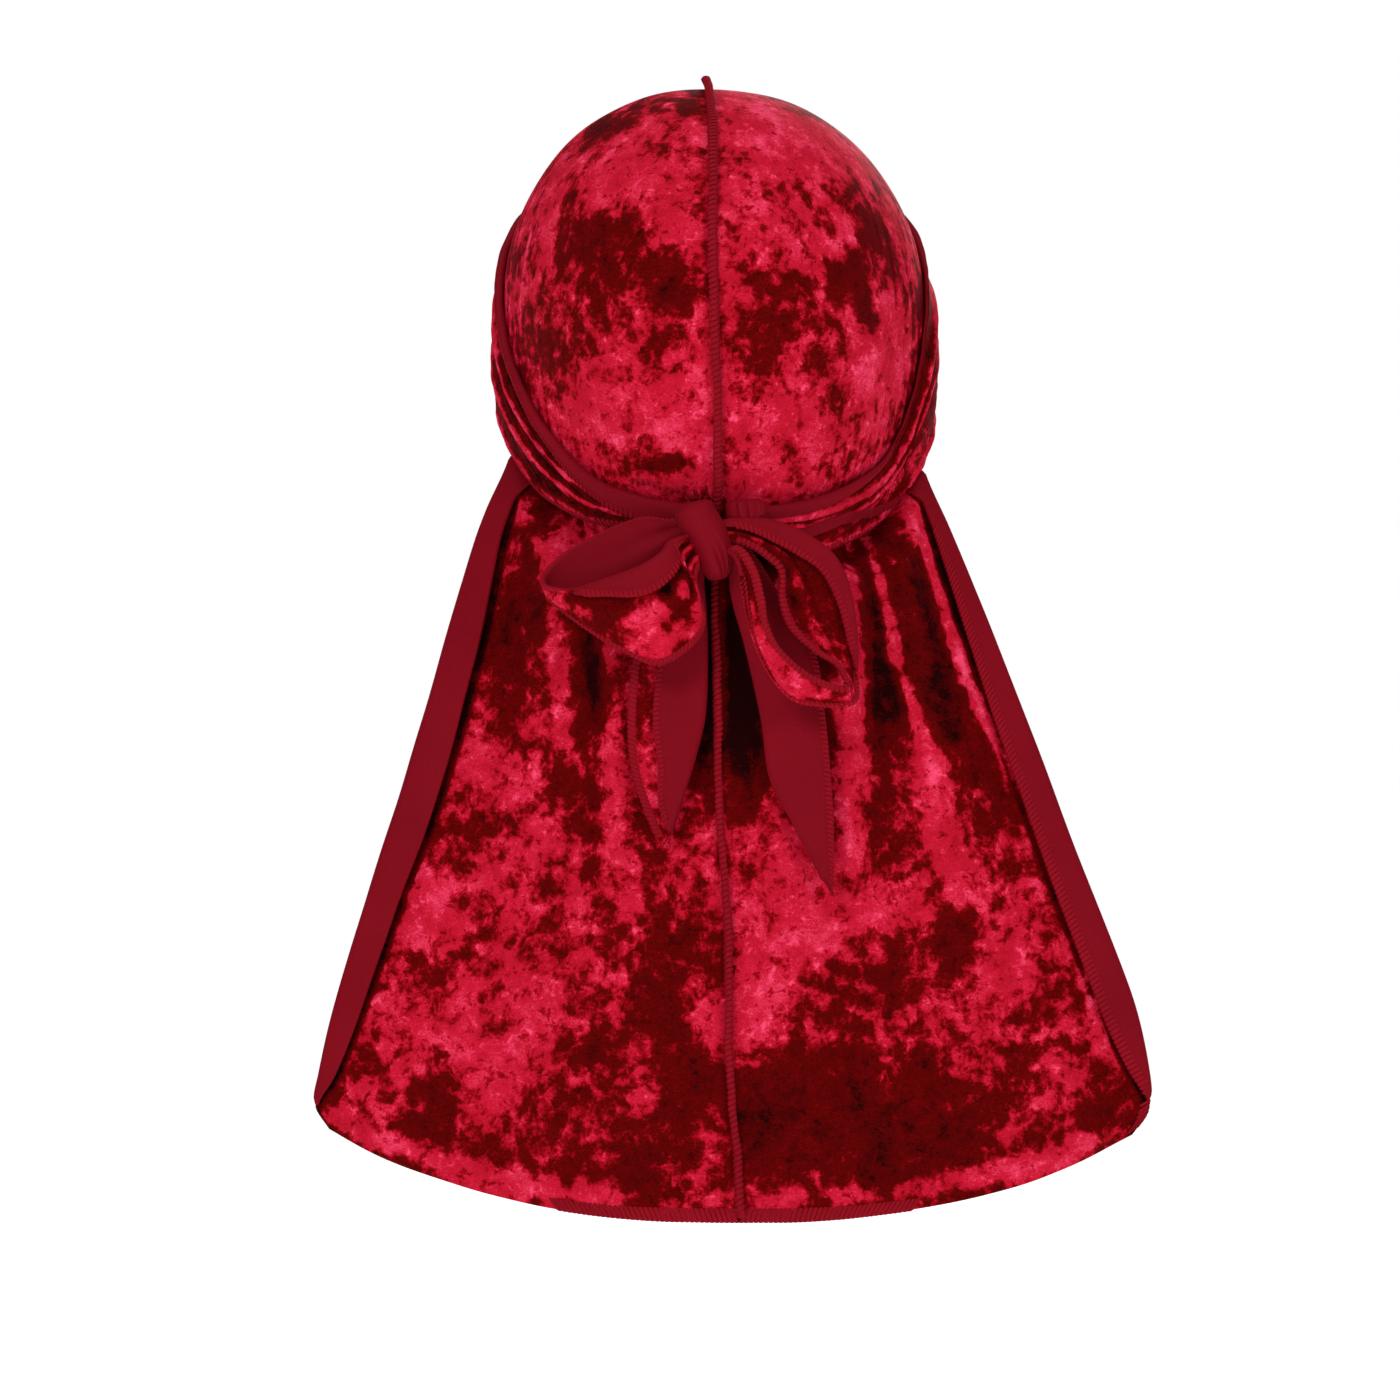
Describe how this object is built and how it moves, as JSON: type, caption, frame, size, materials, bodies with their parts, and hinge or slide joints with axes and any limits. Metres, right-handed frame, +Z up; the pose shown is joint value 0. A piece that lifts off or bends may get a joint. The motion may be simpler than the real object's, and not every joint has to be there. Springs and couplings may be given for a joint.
{
  "type": "durag",
  "caption": "Velvet durag in its worn form: two-panel crown with a raised centre seam, straps tied behind the head in a bow, and a long tail hanging from the nape.",
  "frame": {"origin": "the highest point inside the crown, where it sits on the top of the head", "axes": "+Z up, +Y the way the wearer's face looks, +X towards the wearer's right"},
  "size_m": [0.3081, 0.2151, 0.4279],
  "materials": {
    "velvet": "crushed velvet pile",
    "backing": "matte knit",
    "thread": "overlock stitching"
  },
  "bodies": {
    "root": {"crown_left": "velvet", "crown_right": "velvet", "crown_seam": "thread", "tail_left": "velvet", "tail_right": "velvet", "tail_seam": "thread", "strap_left": "velvet", "strap_right": "velvet", "bow_loop_left": "velvet", "bow_loop_right": "velvet", "strap_end_left": "backing", "strap_end_right": "backing", "knot": "backing", "knot_tuck": "backing"}
  },
  "joints": []
}
